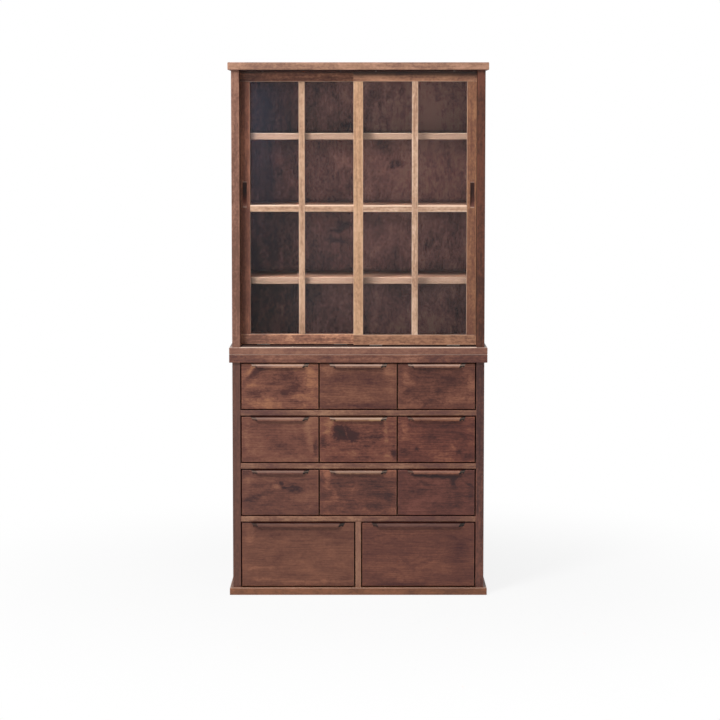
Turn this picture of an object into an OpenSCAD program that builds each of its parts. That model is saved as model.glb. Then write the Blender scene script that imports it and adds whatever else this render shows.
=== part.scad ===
// Apothecary chest in two units, in millimetres.
// The lower chest holds nine small drawers in three rows and two big drawers below.
// The upper cabinet stands on it and has a pair of glazed doors that slide past each
// other in front of three shelves. X is to the right, the front faces -Y, Z is up,
// and the origin is on the floor under the middle of the chest.

/* [Case] */
// Width over the side panels
body_w = 780; // [700:10:860]
// Depth of the side panels, front to back
body_d = 380; // [340:10:440]
// Thickness of the side panels
side_t = 25; // [22:1:30]
// How far the top panel and the plinth board stand out at the front and the sides
board_overhang = 10; // [4:1:18]
// How far the two boards at the waist stand out at the front and the sides
waist_overhang = 9; // [4:1:18]
// Radius of the eased edges of the boards and drawer fronts
edge_r = 2; // [1:0.5:3]
// Thickness of the back panels, which lie in rebates in the sides
back_t = 8; // [6:1:10]
// Width of the rebates that the back panels lie in
rebate_w = 9; // [6:1:12]

/* [Chest] */
// Thickness of the plinth board under the chest
plinth_t = 23; // [20:1:28]
// Thickness of the chest's top board
chest_top_t = 26; // [22:1:30]
// Height of the opening of each row of small drawers
small_row_h = 148; // [130:2:170]
// Height of the opening of the row of big drawers
big_row_h = 206; // [180:2:240]
// Thickness of the rails and dust boards between the rows
rail_t = 18; // [16:1:22]
// Depth of the rails, front to back
rail_d = 60; // [45:5:90]
// Depth of the housings in the sides that hold the rails and dust boards
housing_d = 6; // [4:1:8]
// How far behind the front edge those housings stop
housing_stop = 10; // [6:1:16]
// Thickness of the upright dividers between the small drawers
divider_t = 12; // [9:1:14]
// Thickness of the upright post between the big drawers
post_t = 18; // [14:1:24]

/* [Cabinet] */
// Thickness of the cabinet's base board
cabinet_base_t = 21; // [20:1:26]
// Height of the opening behind the doors
cabinet_h = 853; // [780:1:940]
// Thickness of the top panel
cabinet_top_t = 23; // [20:1:28]
// Thickness of the shelves
shelf_t = 20; // [16:1:24]
// Height of the low shelf's top above the base board
low_shelf_h = 212; // [170:1:240]
// Height from one shelf to the next, seven steps of a 32 mm row of holes
shelf_pitch = 224; // [192:32:256]
// Gap between the rear door and the front edge of the shelves
shelf_setback = 7; // [4:1:20]
// Radius of the shelf pins
shelf_pin_r = 2.5; // [2:0.5:4]
// How far each shelf pin stands out of the side panel
shelf_pin_out = 10; // [7:1:14]
// How deep each shelf pin goes into the side panel
shelf_pin_in = 8; // [6:1:12]

/* [Doors] */
// Thickness of the doors
door_t = 20; // [18:1:24]
// Width of the door stiles
stile_w = 30; // [28:1:40]
// Height of the door rails
door_rail_h = 31; // [28:1:45]
// Width of the upright glazing bar
upright_bar_w = 19; // [17:1:26]
// Height of the level glazing bar
level_bar_h = 20.5; // [17:0.5:26]
// How far the front door stands behind the front edge of the sides
door_inset = 12; // [6:1:20]
// Gap between the two doors, front to back
door_pass_gap = 7; // [4:1:12]
// Gap under the doors
door_gap_below = 7; // [6:0.5:9]
// Gap over the doors
door_gap_above = 4; // [4:0.5:6]
// Gap between a closed door and the side panel
door_side_gap = 1; // [0.5:0.5:3]
// Radius of the eased edges of the door members
door_edge_r = 1.5; // [1:0.25:2.5]
// Thickness of the glass
glass_t = 3; // [3:0.5:4]
// How deep the glass sits in its grooves
glass_seat = 6; // [4:0.5:7]
// Thickness of the tenons
tenon_t = 8; // [6:0.5:9]
// Length of the tenons
tenon_l = 9; // [6:1:12]
// How far the tenons are set in from the edges of a stile or bar
tenon_shoulder = 5; // [4:0.5:6]

/* [Finger slots in the doors] */
// Width of each finger slot
slot_w = 12.5; // [8:0.5:15]
// Height of each finger slot
slot_h = 80; // [60:1:120]
// Depth of each finger slot at its middle
slot_depth = 10; // [6:0.5:12]
// Distance from the door's outer edge to the middle of the slot
slot_from_edge = 13; // [11:0.5:15]
// Height of the slot's middle above the middle of the door
slot_raise = 43; // [0:1:200]

/* [Door track] */
// Thickness of the track fillets
fillet_t = 3; // [2:0.5:3.5]
// Height of the fillets on the base board
bottom_fillet_h = 4.5; // [3:0.5:5]
// Height of the fillets under the top panel
top_fillet_h = 3; // [2:0.5:3]
// Thickness of the glides that run between the fillets
glide_t = 5.6; // [4:0.2:6.4]
// Length of each glide
glide_l = 40; // [25:1:60]
// Distance of the glides and pins from the middle of the door
glide_from_middle = 120; // [80:5:140]
// Radius of the glide spigots and of the guide pins on top
guide_pin_r = 3; // [2:0.25:3.5]
// How deep the spigots and pins go into the rails
guide_pin_in = 12; // [8:1:16]

/* [Drawers] */
// Thickness of the drawer fronts
front_t = 20; // [19:1:24]
// Gap round the drawer fronts
front_gap = 3; // [2:0.5:4]
// Thickness of the sides and back of a drawer box
box_t = 12; // [10:0.5:13]
// How far the sides of a box stop below the top of its front
box_drop = 24; // [16:1:40]
// Thickness of the drawer bottoms
bottom_t = 5; // [4:0.5:7]
// Height of the drawer bottom above the lower edge of the box
bottom_raise = 8; // [6:1:12]
// Depth of the grooves that hold the drawer bottoms
groove_d = 6; // [4:0.5:7]
// Distance from the back of a closed drawer to the back panel
drawer_back_gap = 14; // [8:1:30]
// Number of dovetails at each corner of a small drawer
small_tails = 3; // [2:1:4]
// Number of dovetails at each corner of a big drawer
big_tails = 4; // [3:1:5]
// Length of the dovetails
tail_l = 12; // [10:0.5:13]
// Slope of the dovetails in degrees
tail_slope = 9; // [6:1:12]

/* [Drawer runners] */
// Thickness of the upright guide strips beside the drawers
guide_t = 8; // [6:1:10]
// Height of the guide strips
guide_h = 20; // [12:1:40]

/* [Drawer pulls] */
// Width of the pull on a small drawer, at its top edge
small_lip_w = 182; // [150:2:200]
// Width of the pull on a big drawer, at its top edge
big_lip_w = 292; // [200:2:310]
// How far each pull stands out from the drawer front
lip_out = 10; // [8:0.5:18]
// Height of each pull
lip_h = 12; // [10:0.5:18]
// How far each end of a pull runs in from its top to its bottom
lip_rake = 6; // [3:1:24]
// How far each end of a pull runs in from the drawer front to its nose
lip_taper = 16; // [4:1:24]
// Radius of the upper edge of a pull
lip_r = 3.5; // [2:0.5:5]
// Radius of the finger groove along the underside of a pull
lip_groove_r = 2.5; // [1.5:0.25:3]

/* [Dowels] */
// Radius of the dowels that join the case
dowel_r = 4; // [3:0.5:5]
// Length of the dowels that join the case
dowel_l = 30; // [20:1:32]
// Radius of the dowels that locate the cabinet on the chest
stacking_dowel_r = 5; // [4:0.5:6]
// Length of the dowels that locate the cabinet on the chest
stacking_dowel_l = 24; // [16:1:28]

/* [Fits] */
// Clearance round a joint that is glued
joint_fit = 0.1; // [0.05:0.05:0.2]
// Clearance round a dowel or pin in its hole
pin_fit = 0.05; // [0.02:0.01:0.1]
// Clearance round the glass in its grooves
glass_fit = 0.15; // [0.1:0.05:0.3]
// Running clearance under the drawers and glides
run_fit = 0.4; // [0.3:0.05:0.8]
// Side clearance between a drawer box and its guides
side_play = 1.5; // [0.5:0.25:2]
// Side clearance between the glides or pins and the fillets
track_play = 0.4; // [0.3:0.05:0.8]
// Clearance at each end of a shelf
shelf_play = 0.75; // [0.5:0.25:2]

/* [Hidden] */
$fn = 48;
// Extra length of a cut, so that it runs clear through the face it opens
past = 1;

// Plan of the case
inner_w = body_w - 2 * side_t;
inner_x = inner_w / 2;
front_y = (board_overhang - body_d) / 2;
back_y = front_y + body_d;
inside_back_y = back_y - back_t;

// Levels of the chest, from the floor up
base_rail_z = plinth_t + big_row_h;
first_row_z = base_rail_z + rail_t;
row_step = small_row_h + rail_t;
chest_top_z = first_row_z + 3 * small_row_h + 2 * rail_t;
waist_z = chest_top_z + chest_top_t;

// Levels of the cabinet
cabinet_z = waist_z + cabinet_base_t;
cabinet_top_z = cabinet_z + cabinet_h;

// Rows of small drawers, counted from the top
function row_z(row) = first_row_z + (2 - row) * row_step;

// Small drawers: three fronts with a gap beside each
small_front_w = (inner_w - 4 * front_gap) / 3;
small_front_h = small_row_h - 2 * front_gap;
small_step_x = small_front_w + front_gap;
small_box_w = 2 * (inner_x - guide_t - side_play - small_step_x);
small_box_h = small_front_h - box_drop;

// Big drawers: two fronts, one on each side of the post
big_opening_w = (inner_w - post_t) / 2;
big_front_w = big_opening_w - 2 * front_gap;
big_front_h = big_row_h - 2 * front_gap;
big_x = (post_t + big_opening_w) / 2;
big_box_w = big_opening_w - 2 * (guide_t + side_play);
big_box_h = big_front_h - box_drop;

// Length of a drawer from the face of its front to the back of its box
drawer_l = body_d - back_t - drawer_back_gap;
// Lowest point of the box back, which stands on the drawer bottom
box_back_z = bottom_raise + bottom_t + joint_fit;

// Doors
door_w = inner_x - door_side_gap + stile_w / 2;
door_h = cabinet_h - door_gap_below - door_gap_above;
door_x = inner_x - door_side_gap - door_w / 2;
door_z = cabinet_z + door_gap_below;
front_door_y = front_y + door_inset;
rear_door_y = front_door_y + door_t + door_pass_gap;
sight_w = door_w - 2 * stile_w;
sight_h = door_h - 2 * door_rail_h;
pane_sight_w = (sight_w - upright_bar_w) / 2;
pane_sight_h = (sight_h - level_bar_h) / 2;
// Radius of the round cutter that leaves the finger slot's hollow
slot_cut_r = (pow(slot_h / 2, 2) + pow(slot_depth, 2)) / (2 * slot_depth);

// Shelves
shelf_front_y = rear_door_y + door_t + shelf_setback;
shelf_d = inside_back_y - shelf_front_y - joint_fit;
shelf_w = inner_w - 2 * shelf_play;
pin_inset_y = 35;

// Dowels: three along each joint of a side panel, and four at the waist
dowel_ys = [front_y + body_d * 0.16, (front_y + back_y) / 2, back_y - body_d * 0.16];
side_mid_x = inner_x + side_t / 2;
stacking_x = inner_x - 65;
stacking_y = body_d * 0.3;

carcass_wood = [0.51, 0.36, 0.29];
front_wood = [0.46, 0.30, 0.24];
lattice_wood = [0.78, 0.63, 0.51];
box_wood = [0.80, 0.68, 0.52];
panel_wood = [0.42, 0.31, 0.26];
nylon_white = [0.88, 0.87, 0.83];
pin_steel = [0.68, 0.68, 0.67];
clear_glass = [0.75, 0.85, 0.85, 0.35];

// A rectangle standing on the X axis with all four corners rounded
module rounded_rectangle(w, h, r) {
  translate([r - w / 2, 0]) square([w - 2 * r, h]);
  translate([-w / 2, r]) square([w, h - 2 * r]);
  for (x = [r - w / 2, w / 2 - r], y = [r, h - r]) translate([x, y]) circle(r);
}

// A rectangle from the origin with the two corners on the Y axis rounded
module nosed_rectangle(d, h, r) {
  translate([r, 0]) square([d - r, h]);
  translate([0, r]) square([r, h - 2 * r]);
  for (y = [r, h - r]) translate([r, y]) circle(r);
}

// A bar along X, from its front lower left corner, with eased front edges
module level_member(w, d, h, r) {
  rotate([90, 0, 90]) linear_extrude(w) nosed_rectangle(d, h, r);
}

// An upright member standing on its front middle, with eased front edges
module upright_member(w, d, h, r) {
  linear_extrude(h) translate([w / 2, 0]) rotate(90) nosed_rectangle(d, w, r);
}

// A board centred on X from its front edge back, with eased front and end edges
module case_board(w, d, h, r) {
  intersection() {
    translate([-w / 2, 0, 0]) level_member(w, d, h, r);
    translate([0, d, 0]) rotate([90, 0, 0]) linear_extrude(d) rounded_rectangle(w, h, r);
  }
}

// Dowels that join the side panels to the boards above and below them
module dowel_rods(r, l) {
  for (side = [-1, 1], y = dowel_ys, z = [plinth_t, chest_top_z, cabinet_z, cabinet_top_z])
    translate([side * side_mid_x, y, z - l / 2]) cylinder(r = r, h = l);
}

// Dowels between the chest's top board and the cabinet's base board
module stacking_rods(r, l) {
  for (x = [-stacking_x, stacking_x], y = [-stacking_y, stacking_y])
    translate([x, y, waist_z - l / 2]) cylinder(r = r, h = l);
}

module dowel_holes() dowel_rods(dowel_r + pin_fit, dowel_l + 2 * joint_fit);

module stacking_holes() stacking_rods(stacking_dowel_r + pin_fit, stacking_dowel_l + 2 * joint_fit);

// The four boards that lie across the side panels
module cross_board(overhang, z, t) {
  translate([0, front_y - overhang, z])
    case_board(body_w + 2 * overhang, body_d + overhang, t, edge_r);
}

module plinth_board() {
  color(carcass_wood) difference() {
    cross_board(board_overhang, 0, plinth_t);
    dowel_holes();
  }
}

module chest_top() {
  color(carcass_wood) difference() {
    cross_board(waist_overhang, chest_top_z, chest_top_t);
    dowel_holes();
    stacking_holes();
  }
}

module cabinet_base() {
  color(carcass_wood) difference() {
    cross_board(waist_overhang, waist_z, cabinet_base_t);
    dowel_holes();
    stacking_holes();
  }
}

module cabinet_top() {
  color(carcass_wood) difference() {
    cross_board(board_overhang, cabinet_top_z, cabinet_top_t);
    dowel_holes();
  }
}

// A right-hand side panel with the rebate for its back panel
module side_panel(z, h) {
  difference() {
    translate([side_mid_x, front_y, z]) upright_member(side_t, body_d, h, edge_r);
    translate([inner_x - past, inside_back_y, z - past])
      cube([rebate_w + past, back_t + past, h + 2 * past]);
    dowel_holes();
  }
}

module chest_side() {
  difference() {
    side_panel(plinth_t, chest_top_z - plinth_t);
    for (z = [base_rail_z, row_z(1) - rail_t, row_z(0) - rail_t])
      translate([inner_x - past, front_y + housing_stop - joint_fit, z - joint_fit])
        cube([housing_d + joint_fit + past, body_d - housing_stop, rail_t + 2 * joint_fit]);
  }
}

module chest_side_right() {
  color(carcass_wood) chest_side();
}

module chest_side_left() {
  color(carcass_wood) mirror([1, 0, 0]) chest_side();
}

module back_panel(z, h) {
  half_w = inner_x + rebate_w - joint_fit;
  translate([-half_w, inside_back_y, z]) cube([2 * half_w, back_t, h]);
}

module chest_back() {
  color(panel_wood) back_panel(plinth_t, chest_top_z - plinth_t);
}

module cabinet_back() {
  color(panel_wood) back_panel(cabinet_z, cabinet_h);
}

// A drawer rail: full width at the front, with a tongue at each end behind it
module drawer_rail(z) {
  tongue_w = inner_w + 2 * housing_d;
  translate([-inner_x, front_y, z]) level_member(inner_w, rail_d, rail_t, edge_r);
  translate([-tongue_w / 2, front_y + housing_stop, z])
    cube([tongue_w, rail_d - housing_stop, rail_t]);
}

module rail_upper() {
  color(carcass_wood) drawer_rail(row_z(0) - rail_t);
}

module rail_middle() {
  color(carcass_wood) drawer_rail(row_z(1) - rail_t);
}

module rail_lower() {
  color(carcass_wood) drawer_rail(base_rail_z);
}

module dust_boards() {
  board_w = inner_w + 2 * housing_d;
  color(box_wood) for (z = [base_rail_z, row_z(1) - rail_t, row_z(0) - rail_t])
    translate([-board_w / 2, front_y + rail_d, z])
      cube([board_w, body_d - rail_d - back_t, rail_t]);
}

// Uprights between the small drawers, hidden behind the fronts
module row_dividers() {
  divider_y = front_y + front_t + front_gap;
  color(box_wood) for (row = [0:2], side = [-1, 1])
    translate([side * small_step_x / 2 - divider_t / 2, divider_y, row_z(row)])
      cube([divider_t, inside_back_y - divider_y, small_row_h]);
}

module base_post() {
  color(carcass_wood) translate([0, front_y, plinth_t])
    upright_member(post_t, body_d - back_t, big_row_h, edge_r);
}

// A pair of hardwood slips that one drawer box runs on
module runner_pair(x, z, box_w) {
  slip_y = front_y + front_t + front_gap;
  for (side = [-1, 1])
    translate([x + side * (box_w - box_t) / 2 - box_t / 2, slip_y, z])
      cube([box_t, inside_back_y - slip_y, front_gap - run_fit]);
}

module drawer_runners() {
  color(box_wood) {
    for (row = [0:2], col = [-1:1]) runner_pair(col * small_step_x, row_z(row), small_box_w);
    for (side = [-1, 1]) runner_pair(side * big_x, plinth_t, big_box_w);
  }
}

// Upright strips that keep the outer drawers straight
module drawer_guides() {
  guide_y = front_y + front_t + front_gap;
  guide_l = inside_back_y - guide_y;
  color(box_wood) for (side = [0, 1]) mirror([side, 0, 0]) {
    for (row = [0:2])
      translate([inner_x - guide_t, guide_y, row_z(row)]) cube([guide_t, guide_l, guide_h]);
    for (x = [inner_x - guide_t, post_t / 2])
      translate([x, guide_y, plinth_t]) cube([guide_t, guide_l, guide_h]);
  }
}

module case_dowels() {
  color(box_wood) dowel_rods(dowel_r, dowel_l);
}

module stacking_dowels() {
  color(box_wood) stacking_rods(stacking_dowel_r, stacking_dowel_l);
}

// Shelf pins of one shelf, whose underside is at z
module pin_rods(z, r, out, in) {
  ys = [shelf_front_y + pin_inset_y, inside_back_y - pin_inset_y];
  for (side = [0, 1], y = ys) mirror([side, 0, 0])
    translate([inner_x - out, y, z - shelf_pin_r]) rotate([0, 90, 0]) cylinder(r = r, h = out + in);
}

function shelf_z(n) = cabinet_z + low_shelf_h - shelf_t + n * shelf_pitch;

module shelf(n) {
  translate([-shelf_w / 2, shelf_front_y, shelf_z(n)])
    level_member(shelf_w, shelf_d, shelf_t, door_edge_r);
}

module shelf_low() {
  color(lattice_wood) shelf(0);
}

module shelf_middle() {
  color(lattice_wood) shelf(1);
}

module shelf_high() {
  color(lattice_wood) shelf(2);
}

module shelf_pins() {
  color(pin_steel) for (n = [0:2]) pin_rods(shelf_z(n), shelf_pin_r, shelf_pin_out, shelf_pin_in);
}

module cabinet_side() {
  difference() {
    side_panel(cabinet_z, cabinet_h);
    for (n = [0:2]) pin_rods(shelf_z(n), shelf_pin_r + pin_fit, past, shelf_pin_in + joint_fit);
  }
}

module cabinet_side_right() {
  color(carcass_wood) cabinet_side();
}

module cabinet_side_left() {
  color(carcass_wood) mirror([1, 0, 0]) cabinet_side();
}

// Two fillets, one on each side of a door's line, with a channel between them
module fillet_pair(door_y, z, h, half_channel) {
  for (y = [-half_channel - fillet_t, half_channel])
    translate([-inner_x, door_y + door_t / 2 + y, z]) cube([inner_w, fillet_t, h]);
}

module bottom_fillets() {
  color(lattice_wood) for (y = [front_door_y, rear_door_y])
    fillet_pair(y, cabinet_z, bottom_fillet_h, glide_t / 2 + track_play);
}

module top_fillets() {
  color(lattice_wood) for (y = [front_door_y, rear_door_y])
    fillet_pair(y, cabinet_top_z - top_fillet_h, top_fillet_h, guide_pin_r + track_play);
}

// The door pieces below are drawn from the middle of a door's width, its front face
// and its lower edge, with the outer stile on the left.

// The four panes, or with a fit the grooves that they sit in
module panes(fit) {
  seat = glass_seat + (fit > 0 ? 0 : -glass_fit);
  w = pane_sight_w + 2 * seat;
  h = pane_sight_h + 2 * seat;
  t = glass_t + 2 * fit;
  for (side = [-1, 1], level = [-1, 1])
    translate([
      side * (upright_bar_w + pane_sight_w) / 2 - w / 2,
      (door_t - t) / 2,
      door_h / 2 + level * (level_bar_h + pane_sight_h) / 2 - h / 2
    ]) cube([w, t, h]);
}

// Tenons of the stiles and the upright bar, in the rails
module upright_tenons(fit) {
  for (member = [[-(door_w - stile_w) / 2, stile_w], [0, upright_bar_w], [(door_w - stile_w) / 2, stile_w]]) {
    w = member[1] - 2 * tenon_shoulder + 2 * fit;
    t = tenon_t + 2 * fit;
    translate([member[0] - w / 2, (door_t - t) / 2, door_rail_h - tenon_l - fit])
      cube([w, t, sight_h + 2 * tenon_l + 2 * fit]);
  }
}

// Tenons of the level bar, in the stiles
module level_tenons(fit) {
  h = level_bar_h - 2 * tenon_shoulder + 2 * fit;
  t = tenon_t + 2 * fit;
  w = sight_w + 2 * tenon_l + 2 * fit;
  translate([-w / 2, (door_t - t) / 2, (door_h - h) / 2]) cube([w, t, h]);
}

// Spigots of the two glides and the two guide pins, in the rails
module guide_rods(r, in, out_below, out_above) {
  for (x = [-glide_from_middle, glide_from_middle]) translate([x, door_t / 2, 0]) {
    translate([0, 0, -out_below]) cylinder(r = r, h = in + out_below);
    translate([0, 0, door_h - in]) cylinder(r = r, h = in + out_above);
  }
}

module door_rails() {
  color(lattice_wood) difference() {
    for (z = [0, door_h - door_rail_h])
      translate([-door_w / 2, 0, z]) level_member(door_w, door_t, door_rail_h, door_edge_r);
    upright_tenons(joint_fit);
    panes(glass_fit);
    guide_rods(guide_pin_r + pin_fit, guide_pin_in + joint_fit, past, past);
  }
}

// One stile between the rails, with its two tenons
module stile(x) {
  difference() {
    union() {
      translate([x, 0, door_rail_h]) upright_member(stile_w, door_t, sight_h, door_edge_r);
      intersection() {
        upright_tenons(0);
        translate([x - stile_w / 2, 0, 0]) cube([stile_w, door_t, door_h]);
      }
    }
    panes(glass_fit);
    level_tenons(joint_fit);
  }
}

// A flat-ended finger slot whose floor is hollowed by a round cutter
module finger_slot() {
  translate([
    slot_from_edge - door_w / 2 - slot_w / 2,
    slot_depth - slot_cut_r,
    door_h / 2 + slot_raise
  ]) rotate([0, 90, 0]) cylinder(r = slot_cut_r, h = slot_w, $fn = 96);
}

module door_outer_stile() {
  color(lattice_wood) difference() {
    stile((stile_w - door_w) / 2);
    finger_slot();
  }
}

module door_centre_stile() {
  color(lattice_wood) stile((door_w - stile_w) / 2);
}

// The upright and level glazing bars, halved into each other where they cross
module door_bars() {
  lap_h = level_bar_h + 2 * joint_fit;
  lap_w = upright_bar_w + 2 * joint_fit;
  color(lattice_wood) difference() {
    union() {
      translate([0, 0, door_rail_h])
        upright_member(upright_bar_w, door_t, sight_h, door_edge_r);
      intersection() {
        upright_tenons(0);
        translate([-upright_bar_w / 2, 0, 0]) cube([upright_bar_w, door_t, door_h]);
      }
    }
    panes(glass_fit);
    translate([-lap_w, door_t / 2, (door_h - lap_h) / 2]) cube([2 * lap_w, door_t, lap_h]);
  }
  color(lattice_wood) difference() {
    union() {
      translate([-sight_w / 2, 0, (door_h - level_bar_h) / 2])
        level_member(sight_w, door_t, level_bar_h, door_edge_r);
      level_tenons(0);
    }
    panes(glass_fit);
    translate([-lap_w / 2, -past, (door_h - level_bar_h) / 2 - past])
      cube([lap_w, door_t / 2 + joint_fit + past, level_bar_h + 2 * past]);
  }
}

module door_glass() {
  color(clear_glass) panes(0);
}

// A glide with a spigot at the bottom, and a spring-loaded guide pin on top
module door_glides() {
  glide_h = door_gap_below - run_fit;
  color(nylon_white) {
    for (x = [-glide_from_middle, glide_from_middle])
      translate([x, (door_t + glide_t) / 2, -glide_h]) rotate([90, 0, 0])
        linear_extrude(glide_t) {
          translate([-glide_l / 2, guide_pin_r]) square([glide_l, glide_h - guide_pin_r]);
          rounded_rectangle(glide_l, glide_h, guide_pin_r);
        }
    guide_rods(guide_pin_r, guide_pin_in, joint_fit, door_gap_above - run_fit);
  }
}

// The left door runs behind the right one, which is its mirror image
module place_left_door() {
  translate([-door_x, rear_door_y, door_z]) children();
}

module place_right_door() {
  translate([door_x, front_door_y, door_z]) mirror([1, 0, 0]) children();
}

module left_door_rails() place_left_door() door_rails();
module left_door_outer_stile() place_left_door() door_outer_stile();
module left_door_centre_stile() place_left_door() door_centre_stile();
module left_door_bars() place_left_door() door_bars();
module left_door_glass() place_left_door() door_glass();
module left_door_glides() place_left_door() door_glides();
module right_door_rails() place_right_door() door_rails();
module right_door_outer_stile() place_right_door() door_outer_stile();
module right_door_centre_stile() place_right_door() door_centre_stile();
module right_door_bars() place_right_door() door_bars();
module right_door_glass() place_right_door() door_glass();
module right_door_glides() place_right_door() door_glides();

// The drawer pieces below are drawn from the middle of a drawer's width, the face
// of its front and its lower edge.

// Dovetails along one edge of a box side, from the root line at y, in direction dir
module tails(y, dir, count, box_h, grow) {
  pitch = (box_h - box_back_z) / count;
  root = pitch * 0.22;
  tip = root + tail_l * tan(tail_slope);
  for (i = [0:count - 1]) translate([0, y, box_back_z + (i + 0.5) * pitch])
    rotate([90, 0, 90]) translate([0, 0, -box_t / 2 - grow]) linear_extrude(box_t + 2 * grow)
      polygon([
        [-dir * grow, -root - grow],
        [dir * (tail_l + grow), -tip - grow],
        [dir * (tail_l + grow), tip + grow],
        [-dir * grow, root + grow]
      ]);
}

// The space of both box sides' dovetails, for the sockets in the front and back
module tail_sockets(y, dir, count, box_w, box_h) {
  for (side = [-1, 1]) translate([side * (box_w - box_t) / 2, 0, 0])
    tails(y, dir, count, box_h, joint_fit);
}

// The drawer bottom, or with a fit the grooves that it slides into
module drawer_bottom(box_w, fit) {
  w = box_w - 2 * box_t + 2 * groove_d + (fit > 0 ? 0 : -2 * joint_fit);
  y = front_t - groove_d + (fit > 0 ? 0 : joint_fit);
  translate([-w / 2, y, bottom_raise - fit]) cube([w, drawer_l - y + (fit > 0 ? past : 0), bottom_t + 2 * fit]);
}

// Cross-section of a pull: a rounded upper edge and a finger groove underneath
module lip_section() {
  difference() {
    union() {
      translate([joint_fit, 0]) square([lip_out - lip_r - joint_fit, lip_h]);
      translate([joint_fit, 0]) square([lip_out - joint_fit, lip_h - lip_r]);
      translate([lip_out - lip_r, lip_h - lip_r]) circle(lip_r);
    }
    translate([lip_out / 2 - 1, 0]) circle(lip_groove_r);
  }
}

// The pull lip along the top of a front, with raked and tapered ends
module pull_lip(w, front_h) {
  end_normal = [lip_h * lip_out, -lip_h * lip_taper, -lip_rake * lip_out];
  end_tilt = acos(end_normal[2] / norm(end_normal));
  end_turn = atan2(end_normal[1], end_normal[0]);
  block = 4 * max(lip_h, lip_out, lip_rake, lip_taper);
  difference() {
    translate([w / 2, 0, front_h - lip_h]) rotate([90, 0, -90])
      linear_extrude(w) lip_section();
    for (side = [0, 1]) mirror([side, 0, 0])
      translate([w / 2, 0, front_h]) rotate([0, end_tilt, end_turn])
        translate([-block, -block, 0]) cube([2 * block, 2 * block, block]);
  }
}

module drawer_front(w, h, box_w, box_h, count, lip_w) {
  color(front_wood) {
    difference() {
      intersection() {
        translate([-w / 2, 0, 0]) level_member(w, front_t, h, edge_r);
        upright_member(w, front_t, h, edge_r);
      }
      tail_sockets(front_t, -1, count, box_w, box_h);
      drawer_bottom(box_w, joint_fit);
    }
    pull_lip(lip_w, h);
  }
}

module drawer_box(box_w, box_h, count) {
  side_l = drawer_l - front_t - tail_l;
  color(box_wood) {
    for (side = [-1, 1]) difference() {
      union() {
        translate([side * (box_w - box_t) / 2, 0, 0]) {
          tails(front_t, -1, count, box_h, 0);
          tails(drawer_l - tail_l, 1, count, box_h, 0);
        }
        translate([side * (box_w - box_t) / 2 - box_t / 2, front_t, 0])
          cube([box_t, side_l, box_h]);
      }
      drawer_bottom(box_w, joint_fit);
    }
    difference() {
      translate([-box_w / 2, drawer_l - tail_l + joint_fit, box_back_z])
        cube([box_w, tail_l - joint_fit, box_h - box_back_z]);
      tail_sockets(drawer_l - tail_l, 1, count, box_w, box_h);
    }
    drawer_bottom(box_w, 0);
  }
}

module place_small(row, col) {
  translate([col * small_step_x, front_y, row_z(row) + front_gap]) children();
}

module place_big(side) {
  translate([side * big_x, front_y, plinth_t + front_gap]) children();
}

module small_front(row, col) {
  place_small(row, col)
    drawer_front(small_front_w, small_front_h, small_box_w, small_box_h, small_tails, small_lip_w);
}

module small_box(row, col) {
  place_small(row, col) drawer_box(small_box_w, small_box_h, small_tails);
}

module big_front(side) {
  place_big(side)
    drawer_front(big_front_w, big_front_h, big_box_w, big_box_h, big_tails, big_lip_w);
}

module big_box(side) {
  place_big(side) drawer_box(big_box_w, big_box_h, big_tails);
}

module front_top_left() small_front(0, -1);
module box_top_left() small_box(0, -1);
module front_top_centre() small_front(0, 0);
module box_top_centre() small_box(0, 0);
module front_top_right() small_front(0, 1);
module box_top_right() small_box(0, 1);
module front_middle_left() small_front(1, -1);
module box_middle_left() small_box(1, -1);
module front_middle_centre() small_front(1, 0);
module box_middle_centre() small_box(1, 0);
module front_middle_right() small_front(1, 1);
module box_middle_right() small_box(1, 1);
module front_bottom_left() small_front(2, -1);
module box_bottom_left() small_box(2, -1);
module front_bottom_centre() small_front(2, 0);
module box_bottom_centre() small_box(2, 0);
module front_bottom_right() small_front(2, 1);
module box_bottom_right() small_box(2, 1);
module front_base_left() big_front(-1);
module box_base_left() big_box(-1);
module front_base_right() big_front(1);
module box_base_right() big_box(1);

plinth_board();
chest_side_left();
chest_side_right();
chest_top();
chest_back();
rail_upper();
rail_middle();
rail_lower();
dust_boards();
row_dividers();
base_post();
drawer_runners();
drawer_guides();
case_dowels();
stacking_dowels();
cabinet_base();
cabinet_side_left();
cabinet_side_right();
cabinet_top();
cabinet_back();
shelf_low();
shelf_middle();
shelf_high();
shelf_pins();
bottom_fillets();
top_fillets();
left_door_rails();
left_door_outer_stile();
left_door_centre_stile();
left_door_bars();
left_door_glass();
left_door_glides();
right_door_rails();
right_door_outer_stile();
right_door_centre_stile();
right_door_bars();
right_door_glass();
right_door_glides();
front_top_left();
box_top_left();
front_top_centre();
box_top_centre();
front_top_right();
box_top_right();
front_middle_left();
box_middle_left();
front_middle_centre();
box_middle_centre();
front_middle_right();
box_middle_right();
front_bottom_left();
box_bottom_left();
front_bottom_centre();
box_bottom_centre();
front_bottom_right();
box_bottom_right();
front_base_left();
box_base_left();
front_base_right();
box_base_right();
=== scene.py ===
import math

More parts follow.
